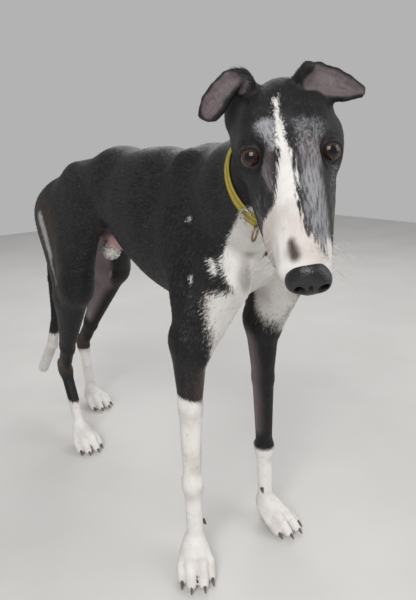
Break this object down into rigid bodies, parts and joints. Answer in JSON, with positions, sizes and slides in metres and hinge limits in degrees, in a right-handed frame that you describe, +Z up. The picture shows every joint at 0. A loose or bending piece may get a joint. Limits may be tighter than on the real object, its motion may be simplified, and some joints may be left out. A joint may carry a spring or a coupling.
{
  "type": "greyhound",
  "caption": "Life-size short-coated greyhound standing on four legs with its head turned and lowered, wearing a slim buckled collar with a ring.",
  "frame": {"origin": "on the floor, under the middle of the model's bounding box", "axes": "+X is the way the body faces, +Y its left side, +Z up"},
  "size_m": [1.1521, 0.3703, 0.7931],
  "materials": {
    "coat": "short flat fur with a satin sheen, black with white throat, chest, paws, tail tip and blaze",
    "claw": "dark horn, slightly worn",
    "eye": "wet dark brown eye",
    "nose_leather": "black moist nose leather",
    "collar_strap": "olive-yellow strap with two raised lines",
    "buckle_metal": "worn plated buckle",
    "ring_metal": "dull bronze-coloured ring"
  },
  "bodies": {
    "root": {"torso": "coat", "neck": "coat", "head": "coat", "ear_right": "coat", "ear_left": "coat", "tail_upper": "coat", "tail_tip": "coat", "fore_right_upper": "coat", "fore_right_lower": "coat", "fore_right_paw": "coat", "fore_left_upper": "coat", "fore_left_lower": "coat", "fore_left_paw": "coat", "hind_right_thigh": "coat", "hind_right_shank": "coat", "hind_right_hock": "coat", "hind_right_paw": "coat", "hind_left_thigh": "coat", "hind_left_shank": "coat", "hind_left_hock": "coat", "hind_left_paw": "coat", "fore_right_claw_1": "claw", "fore_right_claw_2": "claw", "fore_right_claw_3": "claw", "fore_right_claw_4": "claw", "fore_left_claw_1": "claw", "fore_left_claw_2": "claw", "fore_left_claw_3": "claw", "fore_left_claw_4": "claw", "hind_right_claw_1": "claw", "hind_right_claw_2": "claw", "hind_right_claw_3": "claw", "hind_right_claw_4": "claw", "hind_left_claw_1": "claw", "hind_left_claw_2": "claw", "hind_left_claw_3": "claw", "hind_left_claw_4": "claw", "fore_right_claw_dew": "claw", "fore_left_claw_dew": "claw", "eye_right": "eye", "eye_left": "eye", "nose": "nose_leather", "collar": "collar_strap", "collar_buckle": "buckle_metal", "collar_ring": "ring_metal"}
  },
  "joints": []
}
